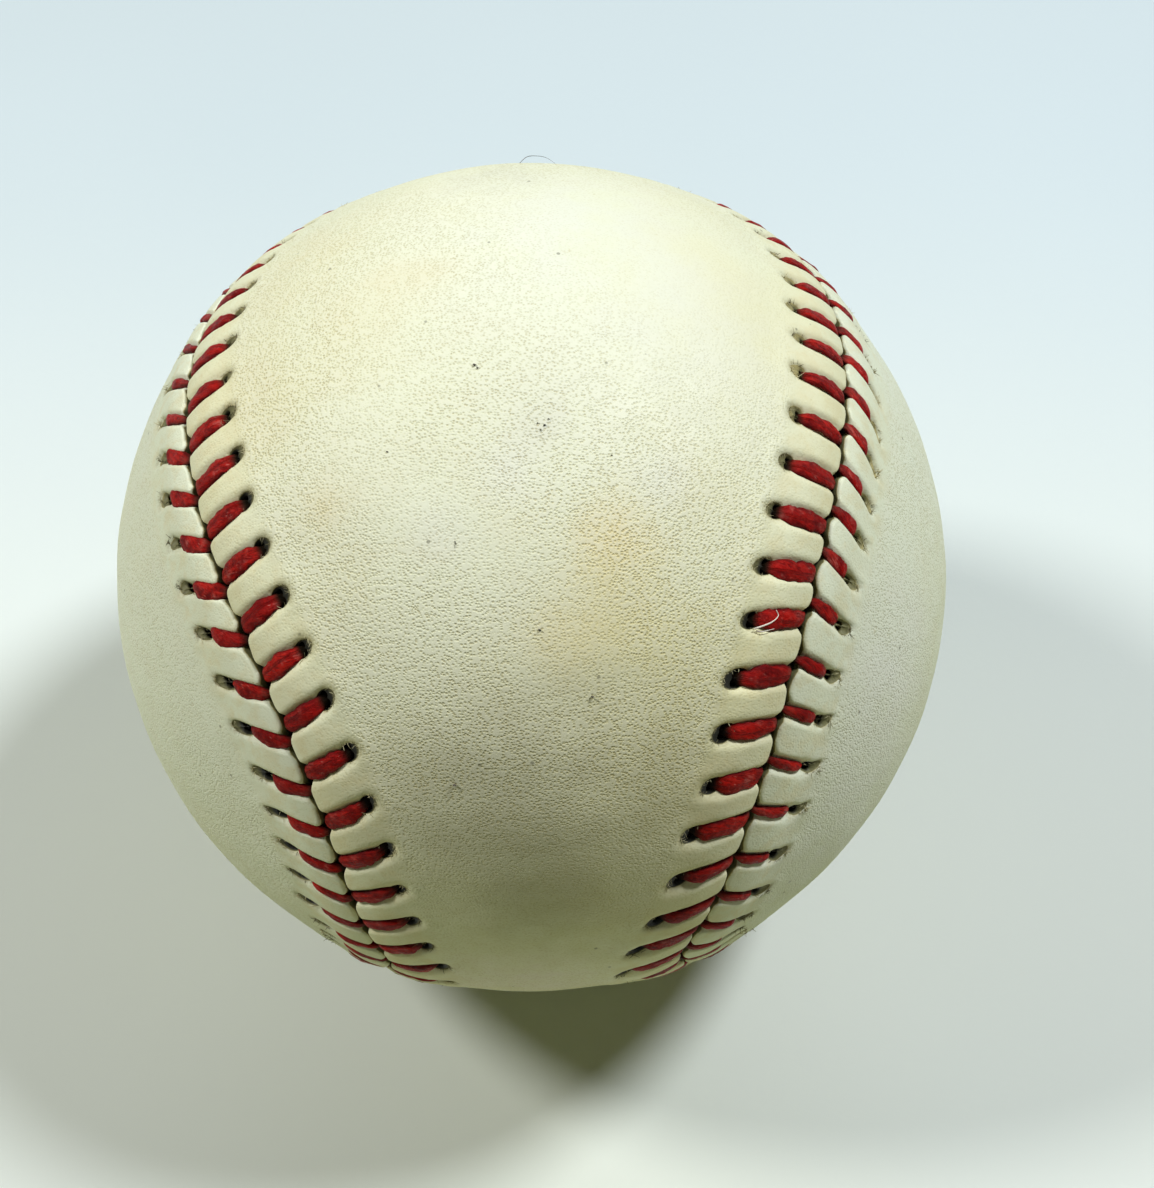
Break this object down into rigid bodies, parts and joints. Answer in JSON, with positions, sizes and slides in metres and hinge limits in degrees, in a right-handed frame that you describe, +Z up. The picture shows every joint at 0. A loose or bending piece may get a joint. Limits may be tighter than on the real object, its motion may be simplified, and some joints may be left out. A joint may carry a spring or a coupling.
{
  "type": "baseball",
  "caption": "Hand-stitched leather ball: cork and rubber core, wound yarn layers, and a two-panel cover laced by red thread.",
  "frame": {"origin": "centre of the ball", "axes": "+Z up as the ball lies at rest, +Y away from the viewer, +X to the right of the view that shows two facing runs of the seam"},
  "size_m": [0.0741, 0.075, 0.0741],
  "materials": {
    "cork": "matte granular",
    "black_rubber": "matte",
    "red_rubber": "matte",
    "grey_wool": "fibrous",
    "white_wool": "fibrous",
    "finishing_yarn": "fibrous",
    "cover_leather": "fine-pored, low sheen",
    "red_thread": "twisted and waxed"
  },
  "bodies": {
    "root": {"cork_core": "cork", "black_rubber_upper": "black_rubber", "black_rubber_lower": "black_rubber", "rubber_gasket": "red_rubber", "red_rubber_upper": "red_rubber", "red_rubber_lower": "red_rubber", "grey_wool_inner_winding": "grey_wool", "white_wool_winding": "white_wool", "grey_wool_outer_winding": "grey_wool", "finishing_yarn_winding": "finishing_yarn", "cover_panel_left": "cover_leather", "cover_panel_right": "cover_leather", "stitch_thread_left": "red_thread", "stitch_thread_right": "red_thread"}
  },
  "joints": []
}
